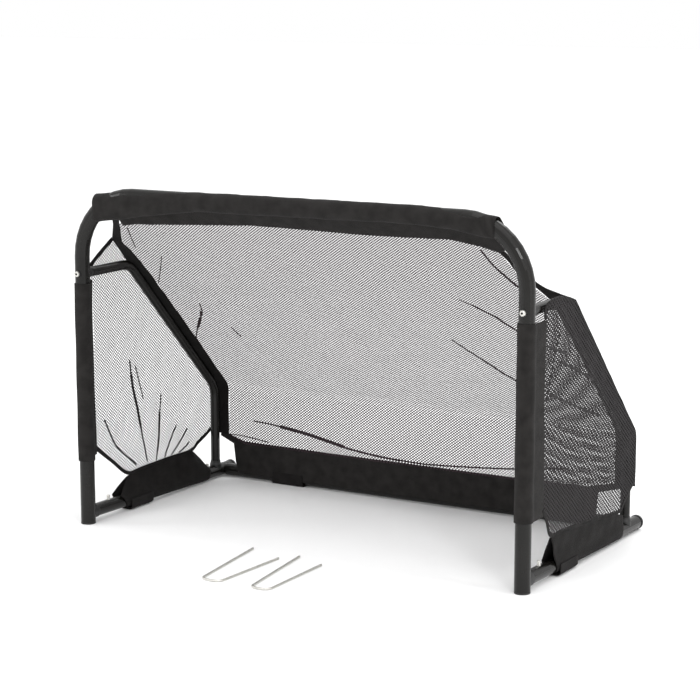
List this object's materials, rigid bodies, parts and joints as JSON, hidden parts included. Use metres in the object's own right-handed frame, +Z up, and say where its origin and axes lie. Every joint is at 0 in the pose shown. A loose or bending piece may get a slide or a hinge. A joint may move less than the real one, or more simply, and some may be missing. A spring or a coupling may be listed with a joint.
{
  "type": "soccer goal frame",
  "caption": "Small football goal with a bent-tube front frame, side arches, base rails, fabric-sleeved net, press-in lock buttons and wire ground pegs.",
  "frame": {"origin": "bottom centre of the whole object's bounding box, goal and pegs together, at floor level", "axes": "+Z up, +X to the goal's right seen from the field, +Y from the goal mouth to the back of the goal"},
  "size_m": [1.205, 0.9004, 0.8225],
  "materials": {
    "frame_paint": "satin black powder coat",
    "black_plastic": "moulded black",
    "zinc": "bright zinc plate",
    "sleeve_cloth": "woven polyester",
    "net_mesh": "knitted mesh, open cells"
  },
  "bodies": {
    "goal": {"front_frame": "frame_paint", "arch_tube_left": "frame_paint", "arch_tube_right": "frame_paint", "base_rail_left": "frame_paint", "base_rail_right": "frame_paint", "rail_corner_left": "frame_paint", "rail_corner_right": "frame_paint", "rear_bar": "frame_paint", "foot_plug_left": "black_plastic", "foot_plug_right": "black_plastic", "bolt_washer_left": "black_plastic", "bolt_washer_right": "black_plastic", "arch_saddle_left": "black_plastic", "arch_saddle_right": "black_plastic", "rail_collar_left": "black_plastic", "rail_collar_right": "black_plastic", "foot_collar_left": "black_plastic", "foot_collar_right": "black_plastic", "end_cap_left": "black_plastic", "end_cap_right": "black_plastic", "arch_bolt_left": "zinc", "arch_bolt_right": "zinc", "arch_nut_left": "zinc", "arch_nut_right": "zinc", "front_spring_left": "zinc", "front_spring_right": "zinc", "rear_spring_left": "zinc", "rear_spring_right": "zinc", "bar_spring_left": "zinc", "bar_spring_right": "zinc", "crossbar_sleeve": "sleeve_cloth", "post_sleeve_left": "sleeve_cloth", "post_sleeve_right": "sleeve_cloth", "corner_band_left": "sleeve_cloth", "corner_band_right": "sleeve_cloth", "base_band_left": "sleeve_cloth", "base_band_right": "sleeve_cloth", "rear_band": "sleeve_cloth", "top_binding_left": "sleeve_cloth", "top_binding_right": "sleeve_cloth", "low_binding_left": "sleeve_cloth", "low_binding_right": "sleeve_cloth", "base_tab_left": "sleeve_cloth", "base_tab_right": "sleeve_cloth", "rear_tab": "sleeve_cloth", "rear_net": "net_mesh", "side_net_left": "net_mesh", "side_net_right": "net_mesh"},
    "front_button_left": {"front_button_left": "zinc"},
    "front_button_right": {"front_button_right": "zinc"},
    "rear_button_left": {"rear_button_left": "zinc"},
    "rear_button_right": {"rear_button_right": "zinc"},
    "bar_button_left": {"bar_button_left": "zinc"},
    "bar_button_right": {"bar_button_right": "zinc"},
    "ground_peg_left": {"ground_peg_left": "zinc"},
    "ground_peg_right": {"ground_peg_right": "zinc"}
  },
  "joints": [
    {"name": "front_button_left_press", "type": "slide", "parent": "goal", "child": "front_button_left", "axis": [0, -0.0156, -0.9999], "range_m": [0, 0.008], "stiffness_N_per_m": 250, "springref_m": -0.004},
    {"name": "front_button_right_press", "type": "slide", "parent": "goal", "child": "front_button_right", "axis": [0, -0.0156, -0.9999], "range_m": [0, 0.008], "stiffness_N_per_m": 250, "springref_m": -0.004},
    {"name": "rear_button_left_press", "type": "slide", "parent": "goal", "child": "rear_button_left", "axis": [0, -0.0156, -0.9999], "range_m": [0, 0.008], "stiffness_N_per_m": 250, "springref_m": -0.004},
    {"name": "rear_button_right_press", "type": "slide", "parent": "goal", "child": "rear_button_right", "axis": [0, -0.0156, -0.9999], "range_m": [0, 0.008], "stiffness_N_per_m": 250, "springref_m": -0.004},
    {"name": "bar_button_left_press", "type": "slide", "parent": "goal", "child": "bar_button_left", "axis": [0, -0.0156, -0.9999], "range_m": [0, 0.008], "stiffness_N_per_m": 250, "springref_m": -0.004},
    {"name": "bar_button_right_press", "type": "slide", "parent": "goal", "child": "bar_button_right", "axis": [0, -0.0156, -0.9999], "range_m": [0, 0.008], "stiffness_N_per_m": 250, "springref_m": -0.004},
    {"name": "ground_peg_left_lift", "type": "slide", "parent": "goal", "child": "ground_peg_left", "axis": [0, 0, 1], "range_m": [0, 0.25]},
    {"name": "ground_peg_right_lift", "type": "slide", "parent": "goal", "child": "ground_peg_right", "axis": [0, 0, 1], "range_m": [0, 0.25]}
  ]
}
